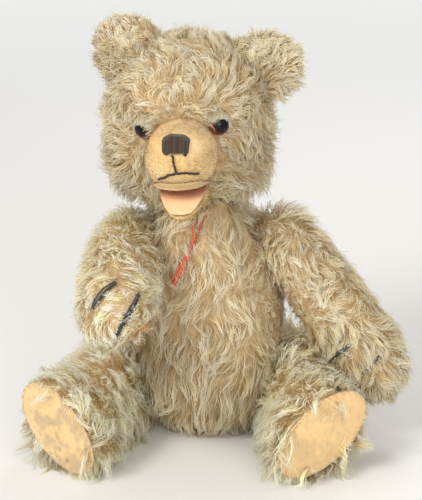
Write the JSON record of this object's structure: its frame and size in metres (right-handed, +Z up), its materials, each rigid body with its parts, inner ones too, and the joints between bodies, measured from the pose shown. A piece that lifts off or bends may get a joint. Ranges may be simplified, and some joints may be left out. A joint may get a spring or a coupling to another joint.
{
  "type": "teddy bear",
  "caption": "Worn, jointed mohair teddy bear sitting with its legs out, with an open felt-lined mouth, glass eyes, felt soles and a red thread round its neck.",
  "frame": {"origin": "centre of the flat seat under the torso, on the floor", "axes": "+Z up through the head, the bear faces -Y, its own left side is +X"},
  "size_m": [0.2381, 0.1629, 0.2682],
  "materials": {
    "mohair": "long curly pile, matted and worn",
    "clipped_mohair": "pile clipped short, ribbed backing showing",
    "felt": "wool felt, grimy along its edges",
    "pad_felt": "rust-brown felt",
    "glass_eye": "polished",
    "brown_thread": "stitched cotton thread, fuzzy",
    "black_thread": "stitched thread, frayed",
    "red_thread": "twisted thread, faded to orange",
    "wood_wool": "matt",
    "hardboard": "matt",
    "steel": "dull"
  },
  "bodies": {
    "torso": {"torso_cover": "mohair", "torso_stuffing": "wood_wool", "red_thread": "red_thread", "red_knot": "red_thread", "red_tassel": "red_thread", "neck_inner_disc": "hardboard", "shoulder_left_inner_disc": "hardboard", "shoulder_right_inner_disc": "hardboard", "hip_left_inner_disc": "hardboard", "hip_right_inner_disc": "hardboard", "neck_pin": "steel", "shoulder_left_pin": "steel", "shoulder_right_pin": "steel", "hip_left_pin": "steel", "hip_right_pin": "steel"},
    "head": {"head_cover": "mohair", "head_stuffing": "wood_wool", "muzzle_cover": "clipped_mohair", "chin": "clipped_mohair", "mouth_lining": "felt", "ear_left": "mohair", "ear_right": "mohair", "eye_left": "glass_eye", "eye_right": "glass_eye", "nose_stitching": "brown_thread", "philtrum_stitch": "brown_thread", "mouth_stitch": "brown_thread", "neck_outer_disc": "hardboard"},
    "arm_left": {"arm_cover_left": "mohair", "arm_stuffing_left": "wood_wool", "palm_pad_left": "pad_felt", "claw_stitch_left_1": "black_thread", "claw_stitch_left_2": "black_thread", "shoulder_left_outer_disc": "hardboard"},
    "leg_left": {"leg_cover_left": "mohair", "leg_stuffing_left": "wood_wool", "sole_left": "felt", "hip_left_outer_disc": "hardboard", "toe_stitch_left_1": "black_thread"},
    "arm_right": {"arm_cover_right": "mohair", "arm_stuffing_right": "wood_wool", "palm_pad_right": "pad_felt", "claw_stitch_right_1": "black_thread", "claw_stitch_right_2": "black_thread", "shoulder_right_outer_disc": "hardboard"},
    "leg_right": {"leg_cover_right": "mohair", "leg_stuffing_right": "wood_wool", "sole_right": "felt", "hip_right_outer_disc": "hardboard"}
  },
  "joints": [
    {"name": "neck_turn", "type": "hinge", "parent": "torso", "child": "head", "pos_m": [-0.005, -0.001, 0.158], "axis": [-0.0698, 0, 0.9976], "continuous": true},
    {"name": "shoulder_left_swing", "type": "hinge", "parent": "torso", "child": "arm_left", "pos_m": [0.0395, 0, 0.113], "axis": [0.8475, 0.0296, 0.5299], "range_deg": [-75, 120]},
    {"name": "shoulder_right_swing", "type": "hinge", "parent": "torso", "child": "arm_right", "pos_m": [-0.041, -0.003, 0.113], "axis": [0.9491, 0.2017, -0.2419], "range_deg": [-20, 25]},
    {"name": "hip_left_swing", "type": "hinge", "parent": "torso", "child": "leg_left", "pos_m": [0.036, 0, 0.0316], "axis": [0.9556, 0.1685, -0.2419], "range_deg": [0, 100]},
    {"name": "hip_right_swing", "type": "hinge", "parent": "torso", "child": "leg_right", "pos_m": [-0.036, -0.004, 0.0318], "axis": [0.9372, -0.2511, 0.2419], "range_deg": [0, 100]}
  ]
}
